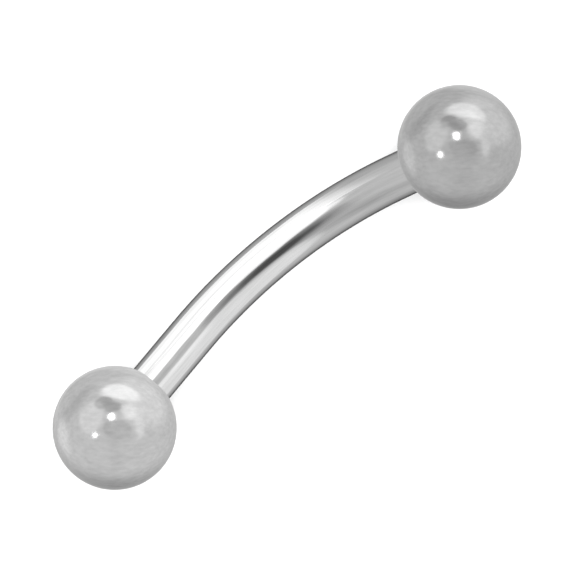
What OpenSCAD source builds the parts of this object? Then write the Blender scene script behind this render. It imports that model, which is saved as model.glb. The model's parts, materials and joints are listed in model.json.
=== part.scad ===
// Curved eyebrow barbell: a bent round bar with a ball screwed onto each end.
// It lies on a level surface at z = 0, on both balls and the middle of its bow.
// +X runs from the lower ball to the upper ball, and the bow points towards +Y.

/* [Bar] */
// Straight distance between the facing sides of the two balls
wear_length = 8.25; // [7:0.25:14]
// Diameter of the bar
bar_d = 1.2; // [1.1:0.05:1.6]

/* [Bend] */
// Angle in degrees that the bar turns through from one end to the other
bend_angle = 37; // [26:1:60]
// Straight run of the bar outside the lower ball, before the bend starts
lower_straight = 1.6; // [0.2:0.1:2.2]
// Straight run of the bar outside the upper ball, after the bend ends
upper_straight = 0.3; // [0.2:0.1:2.2]

/* [Balls] */
// Diameter of each ball
ball_d = 3.2; // [2.8:0.1:5]

/* [Screw fixing] */
// Mean diameter of the thread on each end of the bar, made as a plain post
post_d = 1.04; // [0.7:0.02:1.08]
// Length of each post, from the shoulder of the bar to its tip
post_length = 1.8; // [1.2:0.1:2]
// Chamfer on the tip of each post
post_chamfer = 0.12; // [0.04:0.02:0.2]
// Radial clearance between a post and the hole in its ball
post_clearance = 0.03; // [0.01:0.01:0.08]
// Depth of the hole past the tip of the post, before its drilled point
hole_spare = 0.15; // [0.05:0.05:0.3]
// Full angle in degrees of the drilled point at the bottom of the hole
drill_angle = 118; // [90:2:140]
// Depth of the seat that takes the end of the full bar into the ball
seat_depth = 0.2; // [0.1:0.05:0.4]
// Radial clearance between the bar and the wall of its seat
seat_clearance = 0.02; // [0.01:0.01:0.08]
// Gap between the shoulder of the bar and the floor of the seat
shoulder_gap = 0.02; // [0.01:0.01:0.06]

/* [Hidden] */
$fn = 96;
steel = [0.72, 0.73, 0.74];

// Each straight end laps into the bend and is a hair thinner, so that their walls never coincide
end_lap = 0.04;
end_step = 0.004;

bar_r = bar_d / 2;
end_r = bar_r - end_step;
ball_r = ball_d / 2;
post_r = post_d / 2;
hole_r = post_r + post_clearance;
seat_r = end_r + seat_clearance;

// Along each post, measured from the centre of its ball towards the bar
mouth_at = sqrt(pow(ball_r, 2) - pow(seat_r, 2));
seat_floor_at = mouth_at - seat_depth;
shoulder_at = seat_floor_at + shoulder_gap;
tip_at = shoulder_at - post_length;
hole_end_at = tip_at - hole_spare;
drill_point = hole_r / tan(drill_angle / 2);

// The bend: its arc stands on half the angle at each side of the middle, and
// its radius lets the two straight ends reach the centres of the balls
half_bend = bend_angle / 2;
chord = wear_length + ball_d;
lower_run = ball_r + lower_straight;
upper_run = ball_r + upper_straight;
level_reach = sqrt(pow(chord, 2) - pow((lower_run - upper_run) * sin(half_bend), 2));
bend_r = (level_reach - (lower_run + upper_run) * cos(half_bend)) / (2 * sin(half_bend));

// Centres of the balls, seen from the centre of the arc
lower_centre = [-bend_r * sin(half_bend) - lower_run * cos(half_bend),
                bend_r * cos(half_bend) - lower_run * sin(half_bend)];
upper_centre = [bend_r * sin(half_bend) + upper_run * cos(half_bend),
                bend_r * cos(half_bend) - upper_run * sin(half_bend)];
chord_turn = atan2(upper_centre.y - lower_centre.y, upper_centre.x - lower_centre.x);

// Rise of the bow over the line through the centres of the balls
rise = bend_r + lower_centre.x * sin(chord_turn) - lower_centre.y * cos(chord_turn);
// The bow tips down about that line until it meets the surface
rest_tilt = asin(min(1, (ball_r - bar_r) / rise));
far_side = max(ball_r, rise * cos(rest_tilt) + bar_r);

// Puts the plane of the bend in its resting place, on the middle of its length and depth
module at_rest() {
    translate([-chord / 2, (ball_r - far_side) / 2, ball_r])
        rotate([-rest_tilt, 0, 0])
            rotate([0, 0, -chord_turn])
                translate([-lower_centre.x, -lower_centre.y, 0])
                    children();
}

// Local +Z runs along the post, from the centre of the ball towards the bar
module at_lower_end() {
    translate([lower_centre.x, lower_centre.y, 0])
        rotate([0, 90, half_bend])
            children();
}

module at_upper_end() {
    translate([upper_centre.x, upper_centre.y, 0])
        rotate([0, 90, 180 - half_bend])
            children();
}

// Straight end of the bar: chamfered post, shoulder, then the full bar up to the bend
module bar_end(run) {
    rotate_extrude()
        polygon([
            [0, tip_at], [post_r - post_chamfer, tip_at],
            [post_r, tip_at + post_chamfer], [post_r, shoulder_at],
            [end_r, shoulder_at], [end_r, run + end_lap], [0, run + end_lap]
        ]);
}

module bend() {
    rotate_extrude(angle = bend_angle, start = 90 - half_bend)
        translate([bend_r, 0])
            circle(r = bar_r);
}

// Ball with a blind hole for the post and a seat for the end of the bar
module drilled_ball() {
    difference() {
        sphere(r = ball_r);
        translate([0, 0, seat_floor_at])
            cylinder(r = seat_r, h = ball_r);
        translate([0, 0, hole_end_at])
            cylinder(r = hole_r, h = ball_r - hole_end_at);
        translate([0, 0, hole_end_at - drill_point])
            cylinder(r1 = 0, r2 = hole_r, h = drill_point);
    }
}

module curved_bar() {
    color(steel)
        at_rest() {
            at_lower_end() bar_end(lower_run);
            bend();
            at_upper_end() bar_end(upper_run);
        }
}

module lower_ball() {
    color(steel)
        at_rest()
            at_lower_end() drilled_ball();
}

module upper_ball() {
    color(steel)
        at_rest()
            at_upper_end() drilled_ball();
}

curved_bar();
lower_ball();
upper_ball();
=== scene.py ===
import json
import math
import bmesh
import bpy
from mathutils import Matrix, Vector


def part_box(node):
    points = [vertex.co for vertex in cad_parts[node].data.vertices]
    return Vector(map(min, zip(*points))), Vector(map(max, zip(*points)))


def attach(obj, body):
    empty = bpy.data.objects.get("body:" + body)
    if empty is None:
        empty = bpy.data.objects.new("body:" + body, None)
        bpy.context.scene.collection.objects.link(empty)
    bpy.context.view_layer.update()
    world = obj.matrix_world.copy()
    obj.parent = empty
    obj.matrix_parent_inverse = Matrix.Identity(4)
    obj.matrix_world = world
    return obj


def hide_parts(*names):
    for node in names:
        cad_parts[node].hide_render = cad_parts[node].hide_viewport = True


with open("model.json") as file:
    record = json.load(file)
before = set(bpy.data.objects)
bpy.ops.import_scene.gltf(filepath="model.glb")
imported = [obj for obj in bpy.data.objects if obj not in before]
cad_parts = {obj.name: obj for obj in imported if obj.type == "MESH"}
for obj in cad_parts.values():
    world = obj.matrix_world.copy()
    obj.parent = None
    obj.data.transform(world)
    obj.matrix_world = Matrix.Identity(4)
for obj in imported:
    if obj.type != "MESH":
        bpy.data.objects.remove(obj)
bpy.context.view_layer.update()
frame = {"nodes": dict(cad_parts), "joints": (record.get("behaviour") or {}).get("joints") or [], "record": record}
millimetre = 0.001
samePlace = 0.001 * millimetre         # points nearer than this count as in one place
pictureTurn = math.radians(39.17)      # how far the picture's right is turned from X, towards -Y
print("frame loaded with", ", ".join(sorted(frame["nodes"])))

# Where the balls and the bar are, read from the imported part
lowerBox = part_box("lower_ball")
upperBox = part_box("upper_ball")
ballRadius = max((box[1] - box[0]).y for box in (lowerBox, upperBox)) / 2
lowerCentre = Vector((lowerBox[0].x + ballRadius, 0, ballRadius))
upperCentre = Vector((upperBox[1].x - ballRadius, 0, ballRadius))
mounts = {mount["name"]: mount for mount in frame["record"]["mounts"]}
piercingBar = mounts["piercing_bar"]
barMiddle = Vector(piercingBar["pos_m"])
barRadius = piercingBar["dims"]["r_mm"] * millimetre

# A post runs from the middle of its ball towards the bar, against the way the ball comes off
comesOff = {joint["child"]: Vector(joint["axis"]).normalized() for joint in frame["joints"]}
lowerPost = -comesOff["lower_ball"]
upperPost = -comesOff["upper_ball"]

# The plane of the bend, its arc, and the two points where the arc meets the straight ends
chordWay = (upperCentre - lowerCentre).normalized()
bowWay = barMiddle - lowerCentre
bowWay = (bowWay - bowWay.dot(chordWay) * chordWay).normalized()
bendAxis = bowWay.cross(chordWay)
lowerSide = lowerPost.cross(bendAxis).normalized()
upperSide = bendAxis.cross(upperPost).normalized()
bendRadius = (lowerCentre - barMiddle).dot(lowerSide) / (1 - bowWay.dot(lowerSide))
bendCentre = barMiddle - bendRadius * bowWay
lowerBendStart = bendCentre + bendRadius * lowerSide
upperBendStart = bendCentre + bendRadius * upperSide

# How a ball sits on its post, the same at both ends
fit = {
    "seatGap": 0.016 * millimetre,     # between the bar and the wall of its seat
    "seatDepth": 0.2 * millimetre,
    "shoulderGap": 0.02 * millimetre,
    "postLength": 1.8 * millimetre,
    "threadPitch": 0.25 * millimetre,
    "threadRoot": 0.47 * millimetre,   # radius at the bottom of the thread on a post
    "threadCrest": 0.535 * millimetre,
    "threadFlat": 0.15,                # share of the pitch in the flat groove, and in the flat crest
    "holeRadius": 0.55 * millimetre,
    "holeGroove": 0.59 * millimetre,   # radius at the bottom of the thread in a ball
    "holeSpare": 0.15 * millimetre,    # hole left past the tip of the post
    "drillPoint": 0.33 * millimetre,
    "ringsPerPitch": 12,
    "roundSteps": 3,                   # faces across each rounded edge
}
seatRadius = barRadius + fit["seatGap"]
mouthAt = math.sqrt(ballRadius ** 2 - seatRadius ** 2)
seatFloorAt = mouthAt - fit["seatDepth"]
shoulderAt = seatFloorAt + fit["shoulderGap"]
tipAt = shoulderAt - fit["postLength"]
holeEndAt = tipAt - fit["holeSpare"]


def vertsOf(geometry):
    return [part for part in geometry if isinstance(part, bmesh.types.BMVert)]


def edgesOf(verts):
    chosen = set(verts)
    return [edge for vert in verts for edge in vert.link_edges if edge.other_vert(vert) in chosen
            and edge.verts[0] is vert]


def easeBetween(value, start, end):
    share = min(1, max(0, (value - start) / (end - start)))
    return share * share * (3 - 2 * share)


def threadHeight(along, turn):
    # 0 in the groove and 1 on the crest, with narrow flats on both
    phase = (along / fit["threadPitch"] + turn / math.tau) % 1
    return min(1, max(0, (abs(2 * phase - 1) - fit["threadFlat"]) / (1 - 2 * fit["threadFlat"])))


def turnAround(outward, post):
    # Angle round a post or its hole, from 0 in the plane of the bend
    return math.atan2(outward.dot(bendAxis), outward.dot(post.cross(bendAxis)))


def roundEdges(bm, edges, width):
    bmesh.ops.bevel(bm, geom=edges, offset=width, affect="EDGES", segments=fit["roundSteps"],
                    profile=0.5, material=-1)


def markSharpEdges(bm, sharpAngle=math.radians(32)):
    for face in bm.faces:
        face.smooth = True
    for edge in bm.edges:
        edge.smooth = len(edge.link_faces) == 2 and edge.calc_face_angle() < sharpAngle


def finishPiece(bm, name, material, body, node):
    mesh = bpy.data.meshes.new(name)
    bm.to_mesh(mesh)
    bm.free()
    mesh.materials.append(material)
    piece = bpy.data.objects.new(name, mesh)
    bpy.context.scene.collection.objects.link(piece)
    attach(piece, body)
    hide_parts(node)
    print(name, "made with", len(mesh.polygons), "faces")
    return piece


def storeCutAndShade(mesh, cutAndShadeAt):
    # How much of each face is bare machined steel with painted shade: 0 where it is polished, 1 deep in a hole
    cutAndShade = mesh.attributes.new("cutAndShade", "FLOAT", "FACE")
    for face in mesh.polygons:
        cutAndShade.data[face.index].value = cutAndShadeAt(face.center)


# Curved bar
barShape = {
    "sides": 128,
    "bendSteps": 144,
    "shoulderRound": 0.035 * millimetre,
    "neckLength": 0.1 * millimetre,    # plain stretch between the shoulder and the thread
    "tipRadius": 0.41 * millimetre,
    "postCutAndShade": 0.5,                    # how dull the posts are, and how dark with painted shade, 1 being as deep in a hole
}


def postRadiusAt(along, turn):
    threadEnd = shoulderAt - barShape["neckLength"]
    fade = easeBetween(along, threadEnd, threadEnd - fit["threadPitch"])
    height = (fit["threadCrest"] - fit["threadRoot"]) * threadHeight(along, turn) * fade
    chamfered = barShape["tipRadius"] + (along - tipAt)
    return min(fit["threadRoot"] + height, chamfered)


def growRing(bm, edges, move):
    grown = vertsOf(bmesh.ops.extrude_edge_only(bm, edges=edges)["geom"])
    bmesh.ops.translate(bm, verts=grown, vec=move)
    return grown


def narrowRing(bm, verts, centre, share):
    bmesh.ops.scale(bm, verts=verts, vec=Vector((share, share, share)),
                    space=Matrix.Translation(-centre))


def growEnd(bm, ring, ballCentre, post, bendStart):
    # Straight run into the seat, then the shoulder, both as rings grown towards the ball
    bendAt = (bendStart - ballCentre).dot(post)
    roundingAt = shoulderAt + 2 * barShape["shoulderRound"]
    ring = growRing(bm, edgesOf(ring), post * (roundingAt - bendAt))
    ring = growRing(bm, edgesOf(ring), post * (shoulderAt - roundingAt))
    shoulder = edgesOf(ring)
    ring = growRing(bm, shoulder, Vector())
    centre = ballCentre + post * shoulderAt
    narrowRing(bm, ring, centre, fit["threadRoot"] / barRadius)

    # Threaded post, ring by ring down to its tip
    rings = round(fit["postLength"] / fit["threadPitch"] * fit["ringsPerPitch"])
    step = fit["postLength"] / rings
    for count in range(1, rings + 1):
        ring = growRing(bm, edgesOf(ring), -post * step)
        along = shoulderAt - count * step
        centre = ballCentre + post * along
        for vert in ring:
            outward = vert.co - centre
            radius = postRadiusAt(along, turnAround(outward, post))
            vert.co = centre + outward.normalized() * radius
    bmesh.ops.edgeloop_fill(bm, edges=edgesOf(ring))
    return shoulder


def makeBar(material):
    bm = bmesh.new()
    facing = lowerPost.to_track_quat("Z", "Y").to_matrix().to_4x4()
    firstRing = bmesh.ops.create_circle(bm, segments=barShape["sides"], radius=barRadius,
                                        matrix=Matrix.Translation(lowerBendStart) @ facing)["verts"]
    bend = bmesh.ops.spin(bm, geom=firstRing + edgesOf(firstRing), cent=bendCentre, axis=bendAxis,
                          angle=lowerSide.angle(upperSide), steps=barShape["bendSteps"])
    lastRing = vertsOf(bend["geom_last"])
    shoulders = growEnd(bm, firstRing, lowerCentre, lowerPost, lowerBendStart)
    shoulders += growEnd(bm, lastRing, upperCentre, upperPost, upperBendStart)
    roundEdges(bm, shoulders, barShape["shoulderRound"])
    bmesh.ops.recalc_face_normals(bm, faces=bm.faces)
    markSharpEdges(bm)
    bar = finishPiece(bm, "bar_polished", material, "bar", "curved_bar")
    storeUnbent(bar.data)
    storeCutAndShade(bar.data, barCutAndShadeShare)
    return bar


# Posts are duller, and their colour is darkened with painted shade in the threads
def barCutAndShadeShare(point):
    lowerAlong = (point - lowerCentre).dot(lowerPost)
    upperAlong = (point - upperCentre).dot(upperPost)
    onPost = min(lowerAlong, upperAlong) < shoulderAt + samePlace
    return barShape["postCutAndShade"] if onPost else 0


def unbent(point):
    # The same point with the bar pulled straight: distance along it, then across it
    fromCentre = point - bendCentre
    turn = math.atan2(fromCentre.dot(chordWay), fromCentre.dot(bowWay))
    lowest = -lowerSide.angle(bowWay)
    highest = upperSide.angle(bowWay)
    across = fromCentre.dot(bendAxis)
    if turn < lowest:
        return Vector((bendRadius * lowest - (point - lowerBendStart).dot(-lowerPost),
                       (point - lowerBendStart).dot(lowerSide), across))
    if turn > highest:
        return Vector((bendRadius * highest + (point - upperBendStart).dot(-upperPost),
                       (point - upperBendStart).dot(upperSide), across))
    inPlane = fromCentre - across * bendAxis
    return Vector((bendRadius * turn, inPlane.length - bendRadius, across))


def storeUnbent(mesh):
    straight = mesh.attributes.new("unbent", "FLOAT_VECTOR", "POINT")
    for vert in mesh.vertices:
        straight.data[vert.index].vector = unbent(vert.co)


# Balls
ballShape = {
    "aroundSteps": 160,
    "arcSteps": 112,
    "mouthRound": 0.02 * millimetre,
    "seatCutAndShade": 0.5,                    # how dull the seat is, and how dark with painted shade, 1 being as deep in the hole
    "deepAt": 0.7 * millimetre,        # depth below the seat where the painted shade in the hole is darkest
}


def makeBall(name, centre, post, material, body):
    bm = bmesh.new()
    pole = bm.verts.new(centre - post * ballRadius)
    sideways = post.cross(bendAxis).normalized()
    towardsMouth = (-post).cross(sideways)
    arc = bmesh.ops.spin(bm, geom=[pole], cent=centre, axis=towardsMouth, steps=ballShape["arcSteps"],
                         angle=math.pi - math.asin(seatRadius / ballRadius))
    last = vertsOf(arc["geom_last"])

    # Seat, hole and drilled point, as one line of points inside the ball
    rings = round((seatFloorAt - holeEndAt) / fit["threadPitch"] * fit["ringsPerPitch"])
    wall = [(seatFloorAt + (holeEndAt - seatFloorAt) * count / rings, fit["holeRadius"])
            for count in range(rings + 1)]
    for along, radius in [(seatFloorAt, seatRadius)] + wall + [(holeEndAt - fit["drillPoint"], 0)]:
        last = vertsOf(bmesh.ops.extrude_vert_indiv(bm, verts=last)["verts"])
        last[0].co = centre + post * along + sideways * radius
    bmesh.ops.spin(bm, geom=bm.verts[:] + bm.edges[:], cent=centre, axis=post, angle=math.tau,
                   steps=ballShape["aroundSteps"], use_merge=True)
    bmesh.ops.remove_doubles(bm, verts=bm.verts, dist=samePlace / 2)

    mouth = [edge for edge in bm.edges
             if all(abs((vert.co - centre).dot(post) - mouthAt) < samePlace for vert in edge.verts)]
    roundEdges(bm, mouth, ballShape["mouthRound"])
    cutHoleThread(bm, centre, post)
    bmesh.ops.recalc_face_normals(bm, faces=bm.faces)
    markSharpEdges(bm)
    ball = finishPiece(bm, name, material, body, body)
    storeCutAndShade(ball.data, lambda point: ballCutAndShadeShare(point - centre, post))
    return ball


# Seat and hole are duller, and their colour is darkened with painted shade that deepens into the hole
def ballCutAndShadeShare(fromCentre, post):
    if fromCentre.length > ballRadius - 2 * ballShape["mouthRound"]:
        return 0
    depth = seatFloorAt - fromCentre.dot(post)
    seatCutAndShade = ballShape["seatCutAndShade"]
    return seatCutAndShade + (1 - seatCutAndShade) * easeBetween(depth, 0, ballShape["deepAt"])


def cutHoleThread(bm, centre, post):
    for vert in bm.verts:
        along = (vert.co - centre).dot(post)
        outward = vert.co - centre - post * along
        onWall = abs(outward.length - fit["holeRadius"]) < 2 * samePlace
        if not onWall or not holeEndAt < along < seatFloorAt:
            continue
        fade = easeBetween(along, seatFloorAt, seatFloorAt - fit["threadPitch"])
        fade *= easeBetween(along, holeEndAt, holeEndAt + fit["threadPitch"])
        height = threadHeight(along, turnAround(outward, post))
        groove = (fit["holeGroove"] - fit["holeRadius"]) * height * fade
        vert.co += outward.normalized() * groove


# Materials. All three steels are polished in the same way
polish = {
    "waveDetail": 1.0,
    "lineDetail": 3.0,
    "patchDetail": 2.0,
    "patchesPerWave": 0.6,
    "linesInPatches": 0.7,             # how much the lines show in the patches
    "noiseRange": (0.3, 0.7),          # noise at which the steel is darkest, and lightest
}
# Duller steel on the threads and in the holes, whose colour also carries painted shade
cutSteelAndShade = {
    "shade": 0.1,                      # share of the colour left deep in a hole, the rest darkened as painted shade
    "roughness": 0.45,
}
barFinish = {
    "colour": (0.72, 0.72, 0.72),
    "edgeTint": (0.1, 0.1, 0.1),
    "roughness": (0.07, 0.12),         # smoothest and roughest patches
    "lineTurn": 0,                     # polishing lines run along the bar
    "lineStretch": 0.06,
    "lineSize": 0.06 * millimetre,
    "lineDepth": 0.0003 * millimetre,
    "grain": 0.07,                     # how much the lines and patches lighten or darken the steel
    "waveSize": 0.9 * millimetre,
    "waveDepth": 0.008 * millimetre,
}
ballFinish = {
    "colour": (0.76, 0.76, 0.76),
    "upperShadedColour": (0.63, 0.63, 0.63), # painted shade: the same steel as the lower ball, darkened as the upper ball looks in the photograph
    "edgeTint": (0.9, 0.9, 0.9),
    "roughness": (0.11, 0.16),
    "lineTurn": pictureTurn,           # polishing lines run level across the picture
    "lineStretch": 0.4,
    "lineSize": 0.11 * millimetre,
    "lineDepth": 0.0003 * millimetre,
    "grain": 0.1,
    "waveSize": 0.5 * millimetre,
    "waveDepth": 0.006 * millimetre,
}


def addNode(tree, kind, **values):
    node = tree.nodes.new(kind)
    for key, value in values.items():
        if hasattr(node, key):
            setattr(node, key, value)
        else:
            node.inputs[key.replace("_", " ")].default_value = value
    return node


def addNoise(tree, place, scale, detail):
    noise = addNode(tree, "ShaderNodeTexNoise", Scale=scale, Detail=detail)
    tree.links.new(place, noise.inputs["Vector"])
    return noise.outputs["Fac"]


def addBump(tree, height, depth):
    bump = addNode(tree, "ShaderNodeBump", Strength=1.0, Distance=depth)
    tree.links.new(height, bump.inputs["Height"])
    return bump


def shaded(colour, share):
    return (*(part * share for part in colour), 1)


def polishedSteel(name, finish, unbentAttribute=None):
    material = bpy.data.materials.new(name)
    material.use_nodes = True
    tree = material.node_tree
    link = tree.links.new
    shader = tree.nodes["Principled BSDF"]
    shader.inputs["Metallic"].default_value = 1
    shader.inputs["Specular Tint"].default_value = (*finish["edgeTint"], 1)

    if unbentAttribute:
        place = addNode(tree, "ShaderNodeAttribute", attribute_name=unbentAttribute).outputs["Vector"]
    else:
        place = addNode(tree, "ShaderNodeTexCoord").outputs["Object"]

    # Slow waves left by hand polishing
    waves = addNoise(tree, place, 1 / finish["waveSize"], polish["waveDetail"])
    waveBump = addBump(tree, waves, finish["waveDepth"])

    # Fine polishing lines
    turned = addNode(tree, "ShaderNodeMapping", Rotation=(0, 0, finish["lineTurn"]))
    link(place, turned.inputs["Vector"])
    stretch = addNode(tree, "ShaderNodeMapping", Scale=(finish["lineStretch"], 1, 1))
    link(turned.outputs["Vector"], stretch.inputs["Vector"])
    lines = addNoise(tree, stretch.outputs["Vector"], 1 / finish["lineSize"], polish["lineDetail"])
    lineBump = addBump(tree, lines, finish["lineDepth"])
    link(waveBump.outputs["Normal"], lineBump.inputs["Normal"])
    link(lineBump.outputs["Normal"], shader.inputs["Normal"])

    # Patches with the lines in them, which set how dull and how bright the steel is
    patchScale = polish["patchesPerWave"] / finish["waveSize"]
    patches = addNoise(tree, place, patchScale, polish["patchDetail"])
    both = addNode(tree, "ShaderNodeMix", data_type="FLOAT")
    both.inputs["Factor"].default_value = polish["linesInPatches"]
    link(patches, both.inputs["A"])
    link(lines, both.inputs["B"])
    lowest, highest = polish["noiseRange"]
    dull = addNode(tree, "ShaderNodeMapRange", From_Min=lowest, From_Max=highest,
                   To_Min=finish["roughness"][0], To_Max=finish["roughness"][1])
    link(both.outputs["Result"], dull.inputs["Value"])
    shade = addNode(tree, "ShaderNodeValToRGB")
    darker, lighter = shade.color_ramp.elements
    darker.position = lowest
    darker.color = shaded(finish["colour"], 1 - finish["grain"])
    lighter.position = highest
    lighter.color = shaded(finish["colour"], 1 + finish["grain"])
    link(both.outputs["Result"], shade.inputs["Fac"])

    # Cut steel on the threads and in the holes is duller than the polish, and painted shade darkens its colour,
    # most deep in a hole
    cutAndShade = addNode(tree, "ShaderNodeAttribute", attribute_name="cutAndShade").outputs["Fac"]
    roughness = addNode(tree, "ShaderNodeMix", data_type="FLOAT", B=cutSteelAndShade["roughness"])
    link(cutAndShade, roughness.inputs["Factor"])
    link(dull.outputs["Result"], roughness.inputs["A"])
    link(roughness.outputs["Result"], shader.inputs["Roughness"])
    shadeLeft = addNode(tree, "ShaderNodeMapRange", To_Min=1, To_Max=cutSteelAndShade["shade"])
    link(cutAndShade, shadeLeft.inputs["Value"])
    colour = addNode(tree, "ShaderNodeVectorMath", operation="SCALE")
    link(shade.outputs["Color"], colour.inputs[0])
    link(shadeLeft.outputs["Result"], colour.inputs["Scale"])
    link(colour.outputs["Vector"], shader.inputs["Base Color"])
    return material


barSteel = polishedSteel("barSteel", barFinish, unbentAttribute="unbent")
lowerSteel = polishedSteel("lowerBallSteel", ballFinish)
# The upper ball is the lower ball's steel darkened as painted shade
upperShadedSteel = polishedSteel("upperBallShadedSteel", {**ballFinish, "colour": ballFinish["upperShadedColour"]})
print("materials made")
bar = makeBar(barSteel)
lowerBall = makeBall("lower_ball_polished", lowerCentre, lowerPost, lowerSteel, "lower_ball")
upperBall = makeBall("upper_ball_polished", upperCentre, upperPost, upperShadedSteel, "upper_ball")

# Camera straight above, turned so that the bar climbs to the right
cameraView = {
    "turn": pictureTurn,
    "height": 320 * millimetre,
    "fieldWidth": 14.83 * millimetre,  # seen across the picture at the height of the balls' middles
    "aside": 0.0257 * millimetre,      # from the middle of the barbell to the middle of the picture
    "below": 0.0142 * millimetre,
    "clip": (10 * millimetre, 10000 * millimetre),
}
pictureRight = Vector((math.cos(cameraView["turn"]), -math.sin(cameraView["turn"]), 0))
pictureUp = Vector((math.sin(cameraView["turn"]), math.cos(cameraView["turn"]), 0))


def makeCamera():
    data = bpy.data.cameras.new("camera")
    data.lens = data.sensor_width * (cameraView["height"] - ballRadius) / cameraView["fieldWidth"]
    data.clip_start, data.clip_end = cameraView["clip"]
    camera = bpy.data.objects.new("camera", data)
    bpy.context.scene.collection.objects.link(camera)
    middle = (lowerCentre + upperCentre) / 2
    camera.location = middle + cameraView["aside"] * pictureRight - cameraView["below"] * pictureUp
    camera.location.z = cameraView["height"]
    camera.rotation_euler = (0, 0, -cameraView["turn"])
    bpy.context.scene.camera = camera


makeCamera()
print("camera placed")

# Light. Azimuths are seen in the picture: 0 is its right, 90 its top. Elevation 90 faces the camera
studio = {
    "surround": 0.67,
    "backdrop": 1.0,
    "glowDistance": 400 * millimetre,
}
# Soft patches on the surround: azimuth, elevation, half width and half height in degrees, then
# softness and brightness. A later one lies over those before it
surroundPatches = {
    "rightGlow": (45, 5, 64, 80, 0.5, 0.85),
    "rightStreak": (8, 41, 34, 14, 0.7, 0.91),
    "leftDusk": (144, -16, 38, 32, 0.6, 0.53),
    "leftBounce": (191, -24, 24, 26, 0.6, 0.83),
    "highRim": (105, -60, 55, 26, 0.5, 0.8),
    "lowDusk": (268, -48, 64, 74, 0.9, 0.4),
    "nearDusk": (281, 34, 26, 42, 0.9, 0.5),
    "middle": (345, 84, 20, 29, 0.12, 0.55),
    "ceiling": (308, 77, 30, 36, 0.85, 0.08),
    "keyTail": (44, 48, 22, 22, 0.7, 1.02),
    "darkPatch": (113, 36, 17, 14, 0.25, 0.46),
    "darkPatchEnd": (93, 49, 17, 12, 0.25, 0.46),
    "keyGlow": (80, 16, 38, 20, 0.35, 1.16),
    "outerShade": (128, -38, 40, 32, 0.4, 0.56),
}


def whereIs(patch):
    # Place, size and softness of a patch, for a glow that lies exactly on it
    return surroundPatches[patch][:-1]


# Glows of the same kind, each added to the surround for some of the pieces alone
balls = [lowerBall, upperBall]
pieceGlows = {
    "spotOne": (balls, 105, 68.5, 7, 7.5, 0.6, 6.0),
    "spotTwo": (balls, 201, 51.3, 4.4, 4.4, 0.6, 6.0),
    "ballCeiling": (balls, *whereIs("ceiling"), 0.5),
    "nearFill": (balls, *whereIs("nearDusk"), 0.13),
    "outerFill": (balls, *whereIs("outerShade"), 0.08),
    "leftBlock": (balls, 154, 40, 34, 26, 0.3, 0.16),
    "upperKey": ([upperBall], 64, 34, 36, 28, 0.8, 0.18),
    "barKey": ([bar], 122, 60, 18, 28, 0.25, 0.85),
    "barKeyTail": ([bar], 88, 60, 17, 14, 0.3, 0.85),
    "barFill": ([bar], 328, 22, 31, 50, 0.15, 0.3),
}
# Strip of light close beside the bow, which ends before the upper ball
edgeLight = {
    "distance": 4 * millimetre,
    "reach": (-12 * millimetre, 3.1 * millimetre),
    "fade": 1.9 * millimetre,          # length of the soft end near the upper ball
    "heights": (-1.35 * millimetre, 2.8 * millimetre),
    "brightness": 0.75,
}


def towards(azimuth, elevation):
    level = math.cos(elevation) * (math.cos(azimuth) * pictureRight + math.sin(azimuth) * pictureUp)
    return level + Vector((0, 0, math.sin(elevation)))


def facingFrame(azimuth, elevation):
    # Rotation whose X points out to the patch, Y along it and Z up it
    out = towards(azimuth, elevation)
    along = Vector((0, 0, 1)).cross(out).normalized()
    return Matrix((out, along, out.cross(along))).transposed()


def patchShare(tree, direction, azimuth, elevation, halfWidth, halfHeight, softness):
    # 1 in the middle of the patch and 0 outside it, for a node tree that knows which way it looks
    angles = (azimuth, elevation, halfWidth, halfHeight)
    azimuth, elevation, halfWidth, halfHeight = map(math.radians, angles)
    place = addNode(tree, "ShaderNodeMapping", vector_type="TEXTURE")
    place.inputs["Location"].default_value = towards(azimuth, elevation)
    place.inputs["Rotation"].default_value = facingFrame(azimuth, elevation).to_euler()
    place.inputs["Scale"].default_value = (1, math.sin(halfWidth), math.sin(halfHeight))
    tree.links.new(direction, place.inputs["Vector"])
    falloff = addNode(tree, "ShaderNodeTexGradient", gradient_type="SPHERICAL")
    tree.links.new(place.outputs["Vector"], falloff.inputs["Vector"])
    edge = addNode(tree, "ShaderNodeMapRange", interpolation_type="SMOOTHSTEP", From_Max=softness)
    tree.links.new(falloff.outputs["Fac"], edge.inputs["Value"])
    return edge.outputs["Result"]


def makeSurround():
    world = bpy.data.worlds.new("surround")
    bpy.context.scene.world = world
    world.use_nodes = True
    tree = world.node_tree
    link = tree.links.new
    tree.nodes.clear()
    direction = addNode(tree, "ShaderNodeTexCoord").outputs["Generated"]
    shown = addNode(tree, "ShaderNodeValue")
    shown.outputs[0].default_value = studio["surround"]
    level = shown.outputs[0]
    for *shape, brightness in surroundPatches.values():
        blend = addNode(tree, "ShaderNodeMix", data_type="FLOAT", B=brightness)
        link(patchShare(tree, direction, *shape), blend.inputs["Factor"])
        link(level, blend.inputs["A"])
        level = blend.outputs["Result"]
    seen = addNode(tree, "ShaderNodeLightPath")
    plain = addNode(tree, "ShaderNodeMix", data_type="FLOAT", B=studio["backdrop"])
    link(seen.outputs["Is Camera Ray"], plain.inputs["Factor"])
    link(level, plain.inputs["A"])
    background = addNode(tree, "ShaderNodeBackground")
    link(plain.outputs["Result"], background.inputs["Color"])
    output = addNode(tree, "ShaderNodeOutputWorld")
    link(background.outputs["Background"], output.inputs["Surface"])


def addLamp(name, pieces, place, facing, size, brightness):
    # Rectangle of light with its back to facing's X, lighting only the pieces given
    data = bpy.data.lights.new(name, "AREA")
    data.shape = "RECTANGLE"
    data.size, data.size_y = size
    data.energy = brightness * math.pi * size[0] * size[1]
    lamp = bpy.data.objects.new(name, data)
    bpy.context.scene.collection.objects.link(lamp)
    out, along, upwards = facing.col
    lamp.location = place
    lamp.rotation_euler = Matrix((along, upwards, out)).transposed().to_euler()
    lamp.visible_camera = False
    group = bpy.data.collections.new(name)
    for piece in pieces:
        group.objects.link(piece)
    lamp.light_linking.receiver_collection = group
    return data


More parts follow.
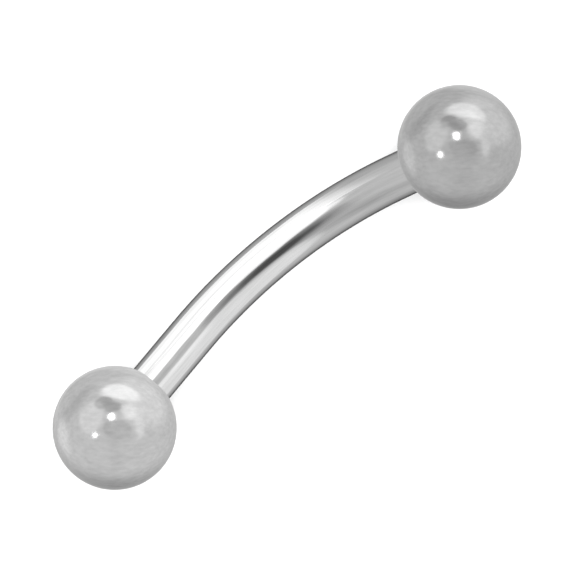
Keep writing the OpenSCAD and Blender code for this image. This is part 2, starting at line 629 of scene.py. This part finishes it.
def addGlow(name, pieces, azimuth, elevation, halfWidth, halfHeight, softness, brightness):
    middle = Vector((0, 0, ballRadius))
    distance = studio["glowDistance"]
    facing = facingFrame(math.radians(azimuth), math.radians(elevation))
    size = [2 * distance * math.tan(math.radians(half)) for half in (halfWidth, halfHeight)]
    data = addLamp(name, pieces, middle + facing.col[0] * distance, facing, size, brightness)
    data.use_nodes = True
    tree = data.node_tree
    place = addNode(tree, "ShaderNodeNewGeometry").outputs["Position"]
    fromMiddle = addNode(tree, "ShaderNodeVectorMath", operation="SUBTRACT")
    fromMiddle.inputs[1].default_value = middle
    tree.links.new(place, fromMiddle.inputs[0])
    direction = addNode(tree, "ShaderNodeVectorMath", operation="NORMALIZE")
    tree.links.new(fromMiddle.outputs[0], direction.inputs[0])
    share = patchShare(tree, direction.outputs[0], azimuth, elevation, halfWidth, halfHeight, softness)
    tree.links.new(share, tree.nodes["Emission"].inputs["Strength"])


def addEdgeLight():
    start, end = edgeLight["reach"]
    low, high = edgeLight["heights"]
    place = Vector(((start + end) / 2, edgeLight["distance"], ballRadius + (low + high) / 2))
    besideBow = facingFrame(math.radians(90) + cameraView["turn"], 0)
    size = (end - start, high - low)
    data = addLamp("edgeLight", [bar], place, besideBow, size, edgeLight["brightness"])
    data.use_nodes = True
    tree = data.node_tree
    split = addNode(tree, "ShaderNodeSeparateXYZ")
    tree.links.new(addNode(tree, "ShaderNodeNewGeometry").outputs["Position"], split.inputs["Vector"])
    fade = addNode(tree, "ShaderNodeMapRange", interpolation_type="SMOOTHSTEP", From_Min=end,
                   From_Max=end - edgeLight["fade"])
    tree.links.new(split.outputs["X"], fade.inputs["Value"])
    tree.links.new(fade.outputs["Result"], tree.nodes["Emission"].inputs["Strength"])


# Pale floor, and its own light above it
floorPaper = {
    "halfSide": 1500 * millimetre,
    "colour": (0.92, 0.92, 0.92),
    "roughness": 0.9,
    "shine": 0.1,
    "lampElevation": 88,               # degrees, 90 being straight above
    "lampDistance": 500 * millimetre,
    "lampSide": 900 * millimetre,
    "brightness": 2.6,
}


def makeFloor():
    bm = bmesh.new()
    bmesh.ops.create_grid(bm, x_segments=1, y_segments=1, size=floorPaper["halfSide"])
    mesh = bpy.data.meshes.new("floor")
    bm.to_mesh(mesh)
    bm.free()
    floor = bpy.data.objects.new("floor", mesh)
    bpy.context.scene.collection.objects.link(floor)
    paper = bpy.data.materials.new("paper")
    paper.use_nodes = True
    shader = paper.node_tree.nodes["Principled BSDF"]
    shader.inputs["Base Color"].default_value = (*floorPaper["colour"], 1)
    shader.inputs["Roughness"].default_value = floorPaper["roughness"]
    shader.inputs["Specular IOR Level"].default_value = floorPaper["shine"]
    mesh.materials.append(paper)
    floor.visible_glossy = False
    floor.visible_shadow = False
    return floor


def addFloorLight(floor):
    above = facingFrame(math.radians(90), math.radians(floorPaper["lampElevation"]))
    size = (floorPaper["lampSide"], floorPaper["lampSide"])
    addLamp("floorLight", [floor], above.col[0] * floorPaper["lampDistance"], above, size,
            floorPaper["brightness"])


makeSurround()
floor = makeFloor()
for name, glow in pieceGlows.items():
    addGlow(name, *glow)
addEdgeLight()
addFloorLight(floor)
bpy.context.scene.view_settings.view_transform = "Standard"
for piece in (bar, lowerBall, upperBall):
    piece.visible_glossy = False       # the photograph shows no piece reflected in another
print("light set")
